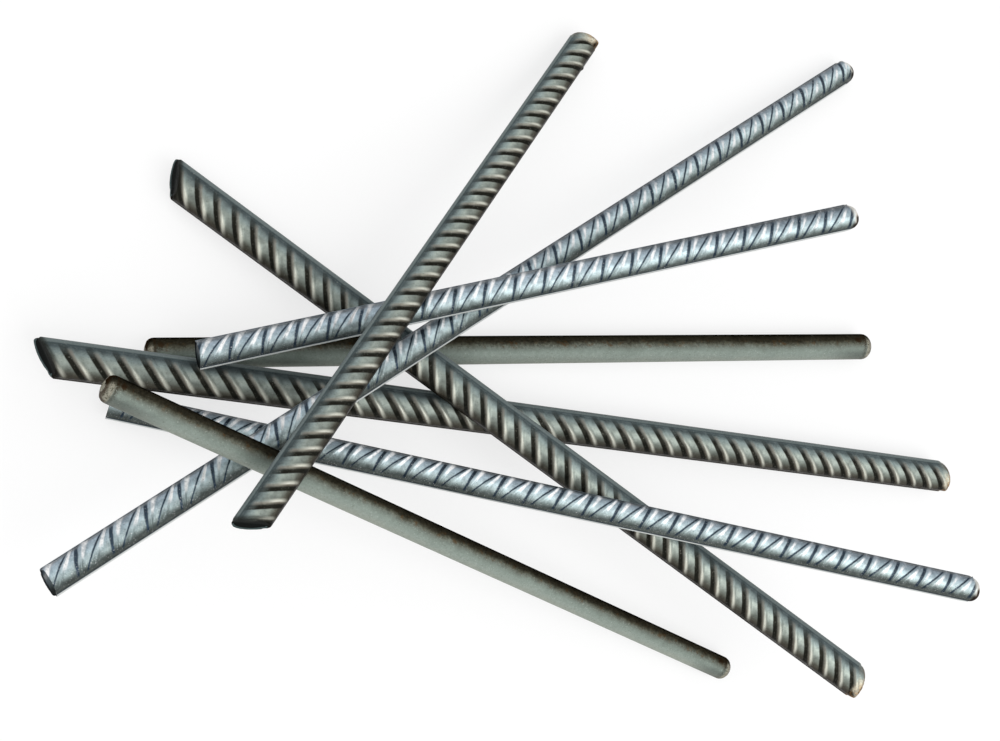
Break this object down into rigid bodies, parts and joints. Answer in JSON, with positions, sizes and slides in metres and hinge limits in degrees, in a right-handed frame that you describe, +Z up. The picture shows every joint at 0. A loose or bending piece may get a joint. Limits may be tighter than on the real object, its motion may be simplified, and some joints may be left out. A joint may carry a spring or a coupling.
{
  "type": "heap of reinforcing bars",
  "caption": "Loose crossed heap of short straight steel reinforcing bars, ribbed and plain, lying on each other and on a level floor; stock for concrete reinforcement.",
  "frame": {"origin": "on the floor under the middle of the heap's bounding box", "axes": "+Z up from the floor, +X along the heap's longest side towards the bars' far ends"},
  "size_m": [0.49, 0.3348, 0.0991],
  "materials": {
    "dark_ribbed_steel": "hot-rolled ribbed steel with dark grey-green mill scale, soft sheen and a little rust at the cut ends",
    "bright_ribbed_steel": "cleaner blue-grey ribbed steel with bright worn rib flanks and dark rib feet",
    "plain_mill_steel": "dull smooth grey-green rolled steel with a dark brown scale band along one side"
  },
  "bodies": {
    "root": {"thick_plain_bar": "plain_mill_steel", "thick_ribbed_bar_1": "dark_ribbed_steel", "thick_ribbed_bar_2": "dark_ribbed_steel", "thin_ribbed_bar_1": "bright_ribbed_steel", "thin_ribbed_bar_2": "bright_ribbed_steel", "thin_ribbed_bar_3": "bright_ribbed_steel", "thin_plain_bar": "plain_mill_steel", "medium_ribbed_bar": "dark_ribbed_steel"}
  },
  "joints": []
}
